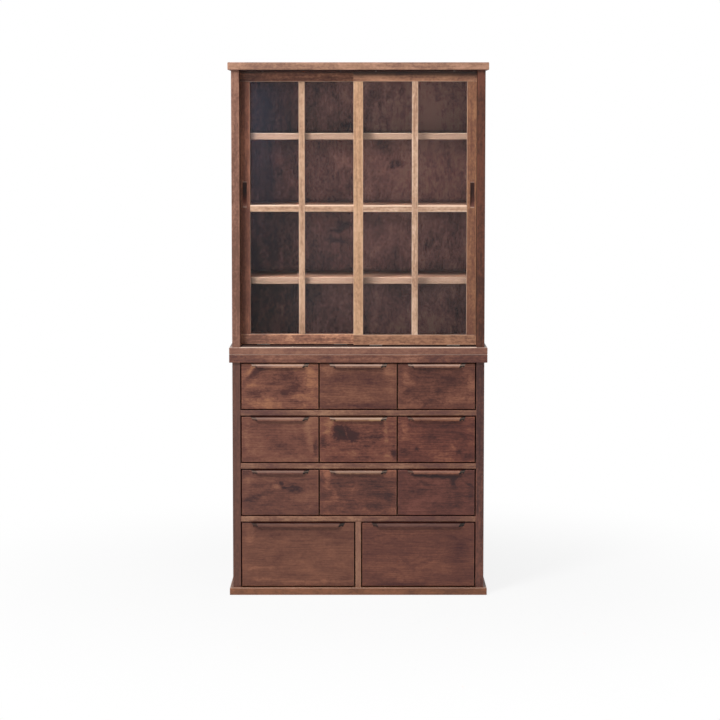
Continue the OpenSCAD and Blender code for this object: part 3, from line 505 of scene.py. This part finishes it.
# Each front: its seed, stain, cloud and heart, the tint of its lip, partly a paler strip
# and partly painted light, the strength of the pale line along the lip, partly worn and
# partly a painted highlight, and its marks.
FRONTS = {
    "front_top_left": (
        71, ((68, 32, 26), (114, 69, 54), (155, 104, 75)),
        1.05, (0.02, 0.03), (1.89, 2.53, 2.56), 0.6,
        ((-81, 37, 50, 10, 42, 0.6), (-93, 50, 25, 8, 48, -0.5), (31, 20, 32, 24, -50, 0.32),
         (36, -6, 26, 12, 20, 0.25), (12, -20, 9, 8, 0, 0.75), (-10, -24, 22, 16, 0, 0.25),
         (-73, -20, 18, 14, 0, 0.2), (97, 10, 16, 42, 0, -0.5), (66, -32, 24, 16, -35, -0.4),
         (-46, -50, 50, 16, 0, -0.45), (-20, 8, 30, 5, 0, 0.3), (-60, 25, 70, 30, 0, 0.2),
         (88, 12, 24, 24, 0, -0.25), (-103, -58, 18, 14, 0, -0.3), (95, -56, 30, 14, 0, -0.25))),
    "front_top_centre": (
        74, ((64, 28, 26), (102, 61, 47), (139, 92, 70)),
        0.9, (0.09, 0.04), (1.47, 1.84, 1.93), 0.6,
        ((-45, 27, 50, 20, 0, 0.35), (40, 14, 45, 18, 0, 0.3), (-92, 48, 16, 18, 0, -0.5),
         (88, 46, 14, 20, 0, -0.35), (0, -36, 90, 14, 0, -0.2), (0, -62, 95, 7, 0, 0.45),
         (-60, 42, 60, 14, 0, -0.2), (104, 25, 18, 40, 0, -0.25), (-30, -50, 90, 18, 0, 0.18))),
    "front_top_right": (
        79, ((60, 27, 22), (97, 56, 44), (135, 87, 67)),
        1.15, (0.03, 0.02), (1.83, 2.38, 2.36), 0.56,
        ((44, 16, 36, 18, -10, 0.38), (-60, 37, 28, 10, -20, 0.28), (6, -14, 12, 9, 0, 0.3),
         (-87, -20, 12, 8, 0, 0.42), (-64, -36, 9, 7, 0, 0.42), (-102, 44, 12, 14, 0, -0.4),
         (-87, 17, 12, 14, 0, -0.4), (109, 0, 10, 30, 0, -0.35), (33, -48, 30, 8, 70, -0.35),
         (-40, -50, 70, 20, 0, -0.25), (83, -32, 18, 12, 0, -0.25), (-80, 42, 40, 16, 0, -0.3),
         (60, 8, 50, 40, 0, 0.2), (104, 45, 12, 14, 0, -0.2))),
    "front_middle_left": (
        83, ((67, 34, 29), (108, 64, 51), (138, 93, 71)),
        0.85, (0.07, 0.03), (1.2, 1.32, 1.38), 0.28,
        ((90, 14, 11, 42, 12, -0.55), (-104, 15, 9, 50, 0, -0.3), (111, -25, 5, 18, 0, 0.5),
         (-80, -30, 50, 16, 0, -0.25), (-30, 30, 60, 12, 0, 0.15), (75, 25, 20, 30, 0, 0.18),
         (10, -52, 110, 16, 0, -0.15))),
    "front_middle_centre": (
        89, ((51, 19, 18), (110, 63, 50), (145, 99, 72)),
        1.0, (0.02, 0.02), (1.43, 1.96, 1.72), 0.68,
        ((-52, 21, 28, 17, -25, 1.0), (-14, 8, 15, 17, -60, 0.5), (-36, 17, 4, 20, 25, -0.6),
         (-88, 30, 12, 26, 0, -0.6), (-28, -12, 24, 6, 0, -0.3), (86, 18, 6, 36, 0, -0.4),
         (111, -44, 9, 13, 0, 0.7), (92, -48, 12, 12, 0, -0.35), (-112, -16, 9, 15, 0, 0.45),
         (66, 10, 24, 8, 0, 0.2), (-62, 10, 22, 14, 0, 0.2), (60, 38, 40, 14, 0, -0.2),
         (40, -50, 70, 20, 0, -0.15), (105, -20, 14, 20, 0, -0.2))),
    "front_middle_right": (
        97, ((48, 17, 16), (97, 52, 42), (147, 93, 70)),
        0.85, (0.04, 0.03), (1.55, 1.92, 1.61), 0.2,
        ((14, 44, 90, 11, 0, 0.35), (-102, 47, 14, 20, 0, -0.35), (87, 14, 32, 7, -14, 0.38),
         (-102, -33, 11, 8, 0, 0.5), (-63, -29, 6, 7, 0, 0.55), (68, -39, 8, 6, 0, 0.55),
         (53, -28, 14, 6, -40, -0.4), (95, -54, 22, 11, 10, 0.65), (-21, 9, 28, 9, 0, 0.25),
         (-15, 15, 80, 22, 0, 0.28), (40, -54, 80, 16, 0, -0.35), (-104, -10, 14, 26, 0, -0.25),
         (104, 0, 14, 20, 0, -0.25))),
    "front_bottom_left": (
        101, ((50, 24, 24), (98, 58, 47), (130, 85, 66)),
        0.85, (0.03, 0.02), (1.04, 1.06, 1.11), 0.26,
        ((1, 27, 6, 6, 0, 0.65), (44, 14, 28, 11, 0, 0.5), (10, 15, 9, 4, 0, 0.65),
         (-16, 18, 9, 6, 0, -0.6), (-78, -14, 44, 7, 15, 0.48), (-100, 40, 12, 16, 0, -0.4),
         (88, -4, 20, 12, 0, -0.25), (92, -46, 18, 8, 0, -0.35), (-70, 35, 60, 20, 0, -0.2),
         (-105, 8, 14, 16, 0, -0.3), (30, 0, 50, 16, 0, 0.22))),
    "front_bottom_centre": (
        103, ((50, 24, 23), (98, 57, 46), (147, 94, 72)),
        0.95, (0.05, 0.03), (1.25, 1.69, 1.58), 0.4,
        ((-98, 38, 11, 30, 0, -0.45), (-74, -6, 10, 20, 20, -0.3), (-10, 30, 78, 17, 0, 0.4),
         (94, -22, 13, 26, 0, 0.25), (-19, -50, 20, 9, 0, 0.25), (70, 25, 45, 30, 0, 0.35),
         (-75, -28, 50, 16, 0, -0.25), (0, -54, 90, 14, 0, -0.25))),
    "front_bottom_right": (
        107, ((44, 19, 20), (90, 50, 42), (122, 73, 62)),
        0.9, (0.04, 0.03), (2.21, 2.6, 2.15), 0.18,
        ((-8, 50, 60, 4, -3, 0.65), (54, 34, 10, 18, 0, 0.55), (100, 25, 22, 3, -35, 0.5),
         (68, -27, 11, 24, 0, 0.25), (109, 0, 7, 26, 0, 0.2), (-45, 22, 45, 22, 0, -0.2),
         (45, 8, 30, 16, 0, 0.15), (90, -40, 30, 26, 0, -0.25))),
    "front_base_left": (
        109, ((74, 38, 32), (108, 67, 52), (142, 92, 70)),
        0.65, (0.06, 0.04), (0.9, 0.93, 1.0), 0.06,
        ((-150, 52, 12, 30, 0, -0.35), (-112, -42, 58, 4, 2, -0.45), (60, -86, 90, 4, 0, -0.4),
         (-100, -80, 40, 5, 0, -0.3), (-10, 68, 110, 14, 0, 0.25), (25, -68, 60, 6, 0, 0.2),
         (-140, 15, 30, 30, 0, 0.15))),
    "front_base_right": (
        113, ((61, 28, 28), (98, 57, 46), (138, 87, 66)),
        0.65, (0.05, 0.05), (0.72, 0.79, 0.95), 0.06,
        ((128, 10, 28, 58, 0, 0.3), (16, -24, 30, 5, 20, 0.3), (-60, -94, 80, 6, 0, 0.35),
         (-50, -40, 100, 24, 0, -0.2), (60, 64, 50, 16, 0, 0.2), (110, -16, 40, 20, 0, 0.18),
         (-150, 24, 20, 30, 0, 0.12))),
}


def plant_lip(board, tint, wear_and_highlight):
    """Tints the lip that stands proud of a front, paler partly as painted light. Paints shade
    along its top and at its ends, the right end darkest, the left also darkened by end grain,
    and a pale line below its top, partly worn and partly a painted highlight.
    """
    tree = board.tree
    proud = reckon(tree, "LESS_THAN", board.at[1], -board.half.y - JUST_PROUD)
    board.glaze(proud, (*tint, 1))
    right = times(tree, between(tree, board.facing[0], 0.15, 0.4), proud)
    board.glaze(right, LIP_RIGHT_END_SHADE)
    left = times(tree, between(tree, board.facing[0], -0.15, -0.4), proud)
    board.glaze(left, LIP_LEFT_END_GRAIN_AND_SHADE)
    drop = reckon(tree, "SUBTRACT", board.half.z, board.at[2])
    below_top = between(tree, drop, *LIP_DARK_TOP)
    top = reckon(tree, "SUBTRACT", 1.0, below_top)
    board.glaze(times(tree, top, proud), LIP_TOP_SHADE)
    worn = between(tree, drop, *LIP_WEAR_AND_HIGHLIGHT_LINE, 0.0, wear_and_highlight)
    board.paint(times(tree, worn, times(tree, below_top, proud)), stain(*PALE_WEAR_AND_HIGHLIGHT))


for name, (seed, tones, cloud, heart, tint, wear_and_highlight, marks) in FRONTS.items():
    # Only the right-facing sawn ends are darkened: painted shade on the side turned from the
    # light.
    board = Board(name, "xzy", seed, tones, cloud, line=0.55, fleck=0.75, heart=heart,
                  marks=marks, rub=0.4, end=0.9, right_end_only=True, front=FRONT_FACE)
    behind_face = reckon(board.tree, "GREATER_THAN", board.at[1], -board.half.y)
    # Painted shade on the faces behind the front's own face.
    paint_shade_inside(board, 0.45, behind_face)
    # Painted light and shade on the lip.
    plant_lip(board, tint, wear_and_highlight)
    board.lacquer()

# Each drawer box is plain hardwood, dovetailed at all four corners, with its bottom in a
# groove. It is sealed but not stained, and the grain of its back runs from side to side.
BOX_BACK = 0.018
for number, name in enumerate(n for n in nodes if n.startswith("box_")):
    low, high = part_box(name)
    Board(name, "yzx", 120 + 7 * number, BARE, 0.5, ring=0.14, rub=0.0, end=0.2,
          turned=("y", (high.y - low.y) / 2 - BOX_BACK, "xzy")).lacquer()

# The cabinet's case is dowelled together as the chest's is: a base board, two side
# panels and a top panel that stands out all round the front. The base board stands out
# too, as a ledge with a pale painted highlight along its top.
BASE_STAIN = ((103, 66, 57), (128, 87, 72), (151, 108, 87))
CABINET_LEFT_STAIN = ((104, 70, 56), (124, 85, 70), (146, 106, 87))
CABINET_RIGHT_STAIN = ((61, 31, 21), (80, 45, 30), (99, 56, 41))
CABINET_TOP_STAIN = ((122, 88, 73), (156, 117, 94), (180, 136, 115))
LEDGE_HIGHLIGHT = (226, 198, 180)
LEDGE_DEPTH, LEDGE_END = 0.055, 0.035
LEDGE_FADE = 0.005


def paint_ledge_highlight(board):
    """Paints a highlight on the front strip of a board's top, less near its two ends."""
    tree = board.tree
    rubbed = times(tree, between(tree, board.facing[2], 0.3, 0.7),
                   reckon(tree, "LESS_THAN", board.at[1], LEDGE_DEPTH - board.half.y))
    aside = size_of(tree, board.at[0])
    end = board.half.x - LEDGE_END
    rubbed = times(tree, rubbed, between(tree, aside, end, end + LEDGE_FADE, 1.0, 0.45))
    # The ledge's top is painted pale as a highlight.
    board.paint(rubbed, stain(*LEDGE_HIGHLIGHT))


cabinet_base = Board("cabinet_base", "xyz", 131, BASE_STAIN, 1.1,
                     marks=((170, -195, 60, 90, 0, -0.3), (360, -195, 30, 90, 0, 0.3)))
# Painted shade on the faces turned away from the front.
paint_shade_inside(cabinet_base, 0.4)
# A painted highlight along the ledge's top.
paint_ledge_highlight(cabinet_base)
cabinet_base.lacquer()
Board("cabinet_side_left", "zyx", 137, CABINET_LEFT_STAIN, 1.3, line=1.2, fleck=1.7,
      marks=((300, 0, 300, 200, 0, -0.3), (-330, 0, 200, 200, 0, 0.4))).lacquer()
Board("cabinet_side_right", "zyx", 139, CABINET_RIGHT_STAIN, 1.2, line=1.3, fleck=2.0,
      marks=((250, 0, 200, 200, 0, -0.35), (-300, 0, 90, 200, 0, 0.25))).lacquer()
cabinet_top = Board("cabinet_top", "xyz", 149, CABINET_TOP_STAIN, 1.4,
                    marks=((-200, -195, 60, 90, 0, 0.2), (60, -195, 200, 90, 0, -0.15)))
# Painted shade on the faces turned away from the front.
paint_shade_inside(cabinet_top, 0.5)
cabinet_top.lacquer()

# Three shelves rest on steel pins in the side panels. They are stained boards with an
# edging of alder along the front. Behind it the board is painted paler, as lit through the
# glass, and then darker inward, as painted shade.
SHELF_STAIN = ((125, 96, 79), (144, 110, 93), (158, 124, 103))
EDGING_DEPTH = 0.006
LIT_BEHIND_EDGING = (2.0, 1.85, 1.8, 1)

# Each shelf: the tint of its painted shade at the back, and its marks.
SHELVES = {"shelf_low": (0.35, ((-350, -150, 40, 90, 0, 0.45), (350, -150, 30, 90, 0, 0.45))),
           "shelf_middle": (1.3, ()),
           "shelf_high": (0.35, ((-20, -150, 130, 90, 0, -0.2),))}
for number, (name, (back_shade, marks)) in enumerate(SHELVES.items()):
    shelf = Board(name, "xyz", 151 + 6 * number, SHELF_STAIN, 0.7, marks=marks, rub=0.2)
    # Behind the edging, painted light near the front and painted shade further back.
    joint = EDGING_DEPTH - shelf.half.y
    behind = reckon(shelf.tree, "GREATER_THAN", shelf.at[1], joint)
    inward = between(shelf.tree, shelf.at[1], joint, shelf.half.y * 0.8)
    shaded_back = (back_shade, back_shade * 0.8, back_shade * 0.8, 1)
    shelf.glaze(behind, paint(shelf.tree, inward, LIT_BEHIND_EDGING, shaded_back))
    # A pale top edge: partly worn, partly a painted highlight.
    wear_and_highlight_crest(shelf, 0.8)
    shelf.lacquer()

# The shelf pins are turned steel, four to a shelf. They are pushed into holes in the side
# panels, and the shelves lie loose on them.
PIN_STEEL = (176, 176, 174)


def moulded(name, colour, rough, metal=0.0):
    """A turned or moulded piece, with fine marks of the tool or mould."""
    mat = bpy.data.materials.new(name)
    mat.use_nodes = True
    tree = mat.node_tree
    shader = tree.nodes["Principled BSDF"]
    here = tree.nodes.new("ShaderNodeTexCoord").outputs["Object"]
    marks = put(tree, "TexNoise", Vector=here, Scale=900.0, Detail=3.0).outputs[0]
    darker = stain(*[c * 0.9 for c in colour])
    tree.links.new(paint(tree, marks, darker, stain(*colour)), shader.inputs["Base Color"])
    tree.links.new(between(tree, marks, 0.3, 0.7, rough - 0.08, rough + 0.08),
                   shader.inputs["Roughness"])
    bump = put(tree, "Bump", Strength=0.2, Distance=0.0001, Height=marks)
    tree.links.new(bump.outputs[0], shader.inputs["Normal"])
    shader.inputs["Metallic"].default_value = metal
    return mat


finish_piece("shelf_pins", moulded("pin_steel", PIN_STEEL, 0.3, metal=1.0))

# The doors slide between hardwood fillets, stained dark. Four are planted on the base
# board and four under the top panel. Their dark stain also stands for the shade in the
# gaps above and below the doors.
FILLET_STAIN_AND_SHADE = ((38, 20, 17), (50, 28, 23), (64, 38, 31))
for number, name in enumerate(("bottom_fillets", "top_fillets")):
    Board(name, "xyz", 171 + 4 * number, FILLET_STAIN_AND_SHADE, 0.6, rub=0.0).lacquer()

# Each door is a lattice of pale alder, tenoned together: two rails, two stiles, and an
# upright and a level bar halved into each other. The right door runs in front of the left
# one. The pieces at the middle of the cabinet are stained paler; the outer stiles are
# darker, partly as painted shade from the side panels.
LATTICE = {
    "left_door_rails": ("xzy", 181, ((109, 72, 59), (157, 108, 86), (220, 164, 127))),
    "left_door_outer_stile": ("zxy", 187, ((94, 54, 42), (114, 70, 54), (142, 91, 70))),
    "left_door_centre_stile": ("zxy", 191, ((150, 110, 88), (180, 140, 113), (200, 160, 130))),
    "left_door_bars": ("zxy", 193, ((148, 112, 88), (188, 149, 122), (210, 174, 145))),
    "right_door_rails": ("xzy", 197, ((97, 60, 50), (145, 104, 79), (177, 130, 102))),
    "right_door_outer_stile": ("zxy", 199, ((105, 65, 50), (129, 87, 64), (153, 108, 77))),
    "right_door_centre_stile": ("zxy", 211, ((163, 122, 93), (191, 150, 117), (210, 169, 137))),
    "right_door_bars": ("zxy", 223, ((158, 120, 97), (194, 158, 132), (220, 187, 163))),
}
LATTICE_MARKS = {
    "left_door_outer_stile": ((-74, 0, 130, 80, 0, 0.3), (190, 0, 110, 80, 0, -0.3),
                              (-330, 0, 70, 80, 0, 0.25)),
    "right_door_outer_stile": ((140, 0, 40, 80, 0, 0.2), (0, 0, 40, 80, 0, -0.35)),
    "left_door_bars": ((-380, 0, 50, 30, 0, 0.5), (-110, 0, 90, 30, 0, -0.4),
                       (240, 0, 60, 30, 0, -0.3)),
    "left_door_rails": ((-150, 405, 25, 60, 0, 0.3), (150, 405, 25, 60, 0, 0.25),
                        (-150, -405, 28, 60, 0, 0.5), (-20, -405, 80, 60, 0, -0.2)),
    "right_door_rails": ((150, 405, 30, 60, 0, 0.25), (-60, -405, 80, 60, 0, -0.2)),
    "right_door_centre_stile": ((300, 0, 120, 60, 0, 0.15),),
}
FLECKS = {"outer_stile": 1.7, "centre_stile": 1.3}
LATTICE_RUB = 0.5
SHADED_EDGE = (0.4, 0.33, 0.33, 1)

# The height of a door's rails. The upper one has painted shade towards its top, under the
# top panel: the tint below, the tint at the top, and how far down from it the painted shade
# starts. On the left door, set further back, the tint below shades its whole upper rail.
RAIL_HEIGHT = 0.031
UNDER_TOP = {"left": ((0.55, 0.48, 0.48, 1), (0.06, 0.025, 0.025, 1), 0.011),
             "right": ((1.0, 0.97, 0.97, 1), (0.04, 0.015, 0.015, 1), 0.026)}

# The upright bar's width and the level bar's height. Where a point lies further aside than
# the upright bar reaches, it is on the level one. That has a painted highlight along its
# upper edge.
UPRIGHT_WIDTH, LEVEL_HEIGHT = 0.019, 0.0205
BESIDE_UPRIGHT = UPRIGHT_WIDTH / 2 + 0.0001
LEVEL_BAR_HIGHLIGHT = (246, 216, 190)
CREST_FROM, CREST_TO = 0.0042, 0.0032

# The finger slots: half their hollow, and how far its middle lies from the stile's outer
# edge, behind its face and above the door's middle. Then the tint of the painted shade at
# the slot's head, how far below and above its middle the tint changes, and each door's
# outer side and the tint of the painted shade at the slot's foot.
SLOT_HALF = Vector((0.0066, 0.0055, 0.0404))
SLOT_FROM_EDGE, SLOT_SINK, SLOT_RAISE = 0.013, 0.0065, 0.043
SLOT_HEAD_SHADE = (0.14, 0.06, 0.05, 1)
SLOT_CHANGE = (-0.03, 0.012)
SLOTS = {"left": (-1, (0.8, 0.5, 0.42, 1)), "right": (1, (0.3, 0.13, 0.1, 1))}


def rub_rails(board):
    """Rubs the edges of the two rails, which lie one above the other in the same piece."""
    tree = board.tree
    rise = board.half.z - RAIL_HEIGHT / 2
    up = reckon(tree, "SUBTRACT", size_of(tree, board.at[2]), rise)
    folded = put(tree, "CombineXYZ", X=board.at[0], Y=board.at[1], Z=up).outputs[0]
    board.rub_edges(LATTICE_RUB, folded, (board.half.x, board.half.y, RAIL_HEIGHT / 2))


def shade_under_top(board, below, edge, depth):
    """Paints shade on the top rail, where it lies close under the cabinet's top panel."""
    tree = board.tree
    top = board.half.z
    near_edge = between(tree, board.at[2], top - depth, top)
    shade = paint(tree, near_edge, below, edge)
    board.glaze(reckon(tree, "GREATER_THAN", board.at[2], 0.0), shade)


def rub_bars(board):
    """Rubs the edges of the upright bar and of the level bar, each as its own box."""
    upright = (UPRIGHT_WIDTH / 2, board.half.y, board.half.z)
    level = (board.half.x, board.half.y, LEVEL_HEIGHT / 2)
    board.rub_edges(LATTICE_RUB, half=choose(board.tree, board.turned, upright, level))


def paint_level_bar_highlight(board):
    """Paints a highlight along the level bar's upper edge."""
    tree = board.tree
    top = LEVEL_HEIGHT / 2
    crest = between(tree, board.at[2], top - CREST_FROM, top - CREST_TO)
    crest = times(tree, crest, times(tree, board.turned, 0.75))
    board.paint(crest, stain(*LEVEL_BAR_HIGHLIGHT))


def ease_edges(board):
    """Paints the rounded edges of a piece's face pale, partly worn and partly a painted
    highlight, and paints shade on its sides.
    """
    tree = board.tree
    turn = size_of(tree, board.facing[1])
    edge = times(tree, between(tree, turn, 0.98, 0.86, 0.0, 0.6),
                 between(tree, turn, 0.15, 0.35))
    board.paint(edge, stain(*PALE_WEAR_AND_HIGHLIGHT))
    board.glaze(between(tree, turn, 0.3, 0.1), SHADED_EDGE)


def shade_slot(board, outward, foot):
    """Paints shade inside the finger slot, darkest at its upper end."""
    tree = board.tree
    across = outward * (board.half.x - SLOT_FROM_EDGE)
    middle = Vector((across, SLOT_SINK - board.half.y, SLOT_RAISE))
    inside = vector(tree, "ABSOLUTE", vector(tree, "SUBTRACT", board.where, middle))
    depth = least_of(tree, split(tree, vector(tree, "SUBTRACT", SLOT_HALF, inside)))
    low, high = SLOT_CHANGE
    climb = between(tree, board.at[2], SLOT_RAISE + low, SLOT_RAISE + high)
    hollow = paint(tree, climb, foot, SLOT_HEAD_SHADE)
    board.glaze(between(tree, depth, -0.0002, 0.0006), hollow)


for name, (lay, seed, tones) in LATTICE.items():
    side, sort = name.split("_door_")
    own_rub = sort in ("rails", "bars")
    board = Board(name, lay, seed, tones, 1.15, ring=0.1, line=1.1,
                  fleck=FLECKS.get(sort, 1.1), marks=LATTICE_MARKS.get(name, ()),
                  rub=0.0 if own_rub else LATTICE_RUB, end=0.3,
                  turned=("x", BESIDE_UPRIGHT, "xzy") if sort == "bars" else None)
    if sort == "rails":
        rub_rails(board)
        # Painted shade on the upper rail under the top panel.
        shade_under_top(board, *UNDER_TOP[side])
    # Pale rounded edges, partly worn and partly a painted highlight, and painted shade on the
    # sides.
    ease_edges(board)
    if sort == "bars":
        rub_bars(board)
        # A painted highlight along the level bar's upper edge.
        paint_level_bar_highlight(board)
    if sort == "outer_stile":
        # Painted shade inside the finger slot.
        shade_slot(board, *SLOTS[side])
    board.lacquer()

# The panes are plain float glass, three millimetres thick, let into grooves in the
# lattice. A faint film on them varies their gloss and tint, and a pale bluish painted
# reflection lies on them, most near the upper left.
WINDOW_GLASS = ((0.90, 0.94, 0.93, 1), (0.96, 0.98, 0.97, 1))
LIGHT_THROUGH = (0.93, 0.95, 0.94, 1)
REFLECTION_TINT = (160, 166, 206)
GLASS_IOR = 1.2
HAZE_ACROSS, HAZE_UP = (-0.15, -0.34), (0.9, 1.6)
HAZE = 0.02
glass = bpy.data.materials.new("door_glass")
glass.use_nodes = True
tree = glass.node_tree
shader = tree.nodes["Principled BSDF"]
here = tree.nodes.new("ShaderNodeTexCoord").outputs["Object"]
film = put(tree, "TexNoise", Vector=here, Scale=7.0, Detail=4.0).outputs[0]
tree.links.new(between(tree, film, 0.35, 0.75, 0.0, 0.03), shader.inputs["Roughness"])
tree.links.new(paint(tree, film, *WINDOW_GLASS), shader.inputs["Base Color"])
shader.inputs["Transmission Weight"].default_value = 1.0
shader.inputs["IOR"].default_value = GLASS_IOR
bump = put(tree, "Bump", Strength=0.02, Distance=0.0005, Height=film)
tree.links.new(bump.outputs[0], shader.inputs["Normal"])
clear = put(tree, "BsdfTransparent", Color=LIGHT_THROUGH)
shadow_ray = tree.nodes.new("ShaderNodeLightPath").outputs["Is Shadow Ray"]
pane = put(tree, "MixShader", in0=shadow_ray, in1=shader.outputs[0], in2=clear.outputs[0])
spot = split(tree, here)
# A pale bluish painted reflection, strongest at the upper left.
haze = times(tree, between(tree, spot[0], *HAZE_ACROSS, 0.0, HAZE),
             between(tree, spot[2], *HAZE_UP))
painted_reflection = put(tree, "BsdfDiffuse", Color=stain(*REFLECTION_TINT))
pane = put(tree, "MixShader", in0=haze, in1=pane.outputs[0], in2=painted_reflection.outputs[0])
tree.links.new(pane.outputs[0], tree.nodes["Material Output"].inputs["Surface"])
for side in ("left", "right"):
    finish_piece(side + "_door_glass", glass)

# Nylon glides under the doors run between the fillets, and nylon pins steer them on top.
# They are moulded, and pressed into holes in the rails.
NYLON = (224, 221, 212)
nylon = moulded("nylon", NYLON, 0.45)
for side in ("left", "right"):
    finish_piece(side + "_door_glides", nylon)

# The studio: a plain pale floor of matt paper, which keeps the shadow and fades into
# white. It lies just under the plinth, so that the two don't share a plane.
FLOOR_REACH, FLOOR_SINK = 6.0, 0.0005
PAPER = (0.85, 0.85, 0.85, 1)
WHITE = (1, 1, 1, 1)
FADES_FROM, FADES_TO = 0.4, 1.8
LEAST_WHITE = 0.88
corners = [(-1, -1), (1, -1), (1, 1), (-1, 1)]
floor_mesh = bpy.data.meshes.new("studio_floor")
floor_mesh.from_pydata([(x * FLOOR_REACH, y * FLOOR_REACH, 0) for x, y in corners], [],
                       [(0, 1, 2, 3)])
floor = bpy.data.objects.new("studio_floor", floor_mesh)
bpy.context.scene.collection.objects.link(floor)
floor.location.z = -FLOOR_SINK
paper = bpy.data.materials.new("studio_paper")
paper.use_nodes = True
tree = paper.node_tree
tree.nodes.remove(tree.nodes["Principled BSDF"])
here = tree.nodes.new("ShaderNodeTexCoord").outputs["Object"]


def seen_ray(tree):
    """One where the studio is seen, itself or in gloss or through glass, and not as light."""
    rays = tree.nodes.new("ShaderNodeLightPath").outputs
    return reckon(tree, "MAXIMUM", rays["Is Camera Ray"],
                  reckon(tree, "MAXIMUM", rays["Is Glossy Ray"], rays["Is Transmission Ray"]))


fading = between(tree, length_of(tree, here), FADES_FROM, FADES_TO, LEAST_WHITE, 1.0)
white_share = times(tree, seen_ray(tree), fading)
matt = put(tree, "BsdfDiffuse", Color=PAPER)
white = put(tree, "Emission", Color=WHITE, Strength=1.0)
both = put(tree, "MixShader", in0=white_share, in1=matt.outputs[0], in2=white.outputs[0])
tree.links.new(both.outputs[0], tree.nodes["Material Output"].inputs["Surface"])
floor_mesh.materials.append(paper)

# The room is even white where it is seen, and lights the object only faintly. Three soft
# lamps do the rest: one overhead, a low wide one, and the brightest from the upper left.
ROOM_LIGHT = 0.11
world = bpy.data.worlds.new("studio")
bpy.context.scene.world = world
world.use_nodes = True
tree = world.node_tree
level = reckon(tree, "MULTIPLY_ADD", seen_ray(tree), 1 - ROOM_LIGHT, ROOM_LIGHT)
tree.links.new(level, tree.nodes["Background"].inputs["Strength"])
tree.nodes["Background"].inputs["Color"].default_value = WHITE


def softbox(name, place, aim, width, height, watts):
    lamp = bpy.data.lights.new(name, "AREA")
    lamp.shape = "RECTANGLE"
    lamp.size = width
    lamp.size_y = height
    lamp.energy = watts
    box = bpy.data.objects.new(name, lamp)
    box.location = place
    box.rotation_euler = (Vector(aim) - Vector(place)).to_track_quat("-Z", "Y").to_euler()
    bpy.context.scene.collection.objects.link(box)


softbox("overhead", (-0.3, -1.0, 3.5), (0, -0.2, 0.8), width=1.6, height=1.0, watts=24)
softbox("fill", (-2.8, -5.3, 0.9), (0, -0.2, 0.8), width=2.0, height=2.2, watts=60)
softbox("key", (-2.7, -4.5, 5.3), (0, -0.2, 0.9), width=1.6, height=1.4, watts=330)

# The camera stands seven metres off the fronts, as high as the cabinet's upper panes, and
# looks slightly down. Its lens and its middle are given in pixels of the square picture.
PICTURE_SIDE = 720
FOCAL_PIXELS = 2275.0
MIDDLE_PIXEL = 358.3
SHIFT_DOWN = -0.06
CAMERA_OFF, CAMERA_HEIGHT = 7.0, 1.453
TILT_DOWN = 4.77
SENSOR = 36.0
camera_data = bpy.data.cameras.new("camera")
camera_data.sensor_width = SENSOR
camera_data.lens = FOCAL_PIXELS / PICTURE_SIDE * SENSOR
camera_data.shift_x = (PICTURE_SIDE / 2 - MIDDLE_PIXEL) / PICTURE_SIDE
camera_data.shift_y = SHIFT_DOWN
camera_data.clip_end = 100
camera = bpy.data.objects.new("camera", camera_data)
camera.location = (0.0, FRONT_FACE - CAMERA_OFF, CAMERA_HEIGHT)
camera.rotation_euler = (math.radians(90 - TILT_DOWN), 0, 0)
bpy.context.scene.collection.objects.link(camera)
bpy.context.scene.camera = camera
bpy.context.scene.view_settings.view_transform = "Standard"
